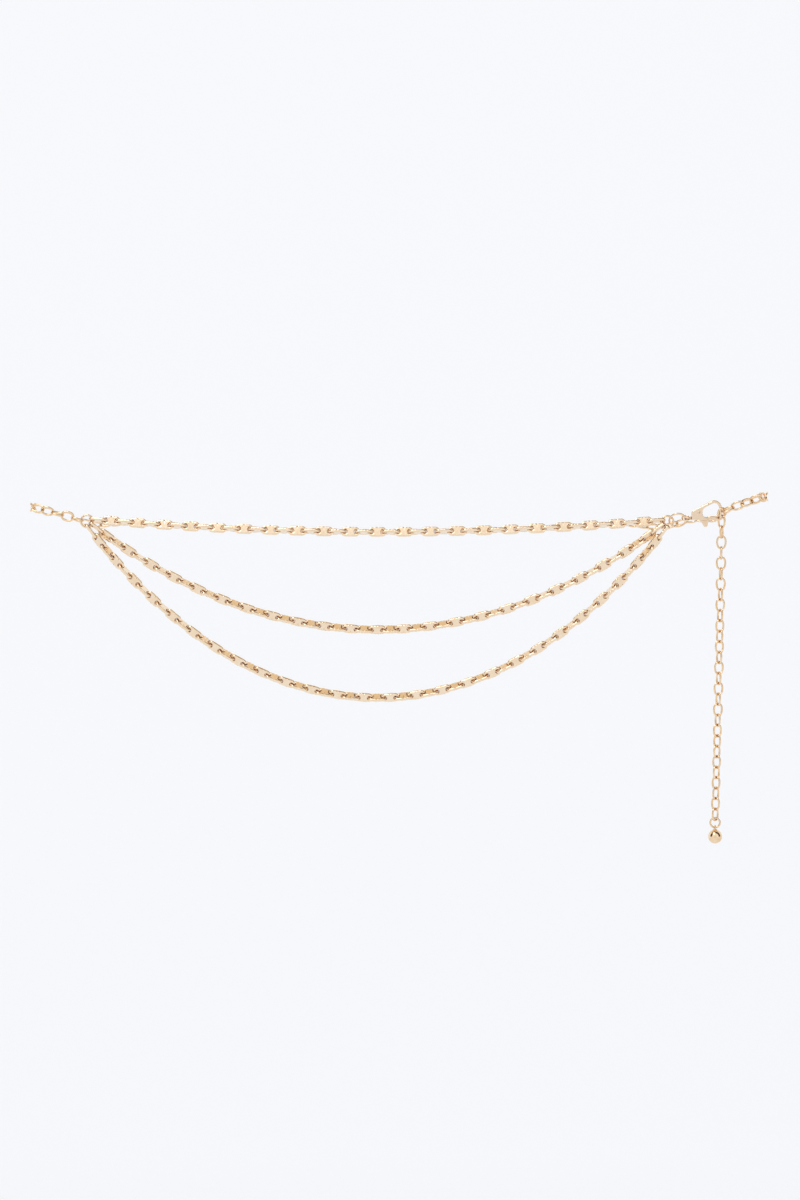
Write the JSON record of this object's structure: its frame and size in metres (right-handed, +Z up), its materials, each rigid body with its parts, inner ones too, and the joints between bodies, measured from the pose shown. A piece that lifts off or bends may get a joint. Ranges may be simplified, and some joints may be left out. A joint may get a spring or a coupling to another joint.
{
  "type": "waist chain",
  "caption": "Waist chain of draped mariner-link strands between rings, with a cable chain round the back, a swivel lobster clasp and a free end with a ball.",
  "frame": {"origin": "centre of the waist opening, at the height of the belt line where the strands meet their rings", "axes": "+X to the clasp end (the viewer's right), -Y towards the front where the strands drape, +Z up along the body"},
  "size_m": [0.3805, 0.0656, 0.1774],
  "materials": {
    "strand_gold": "polished pale gold plating",
    "cable_gold": "polished pale gold plating",
    "clasp_gold": "polished pale gold plating"
  },
  "bodies": {
    "chain": {"top_strand": "strand_gold", "middle_strand": "strand_gold", "lower_strand": "strand_gold", "left_ring": "cable_gold", "right_ring": "cable_gold", "clasp_ring": "cable_gold", "clasp_swivel": "clasp_gold", "clasp_body": "clasp_gold", "hooked_link": "cable_gold", "left_chain": "cable_gold", "back_chain": "cable_gold", "right_chain": "cable_gold", "extender_chain": "cable_gold", "ball_ring": "cable_gold", "ball_drop": "cable_gold"},
    "lever": {"clasp_lever": "clasp_gold"}
  },
  "joints": [
    {"name": "lever_hinge", "type": "hinge", "parent": "chain", "child": "lever", "pos_m": [0.1495, -0.03, 0.0035], "axis": [0, 1, 0], "range_deg": [0, 25], "stiffness_Nm_per_rad": 0.01, "springref_deg": -20.05}
  ]
}
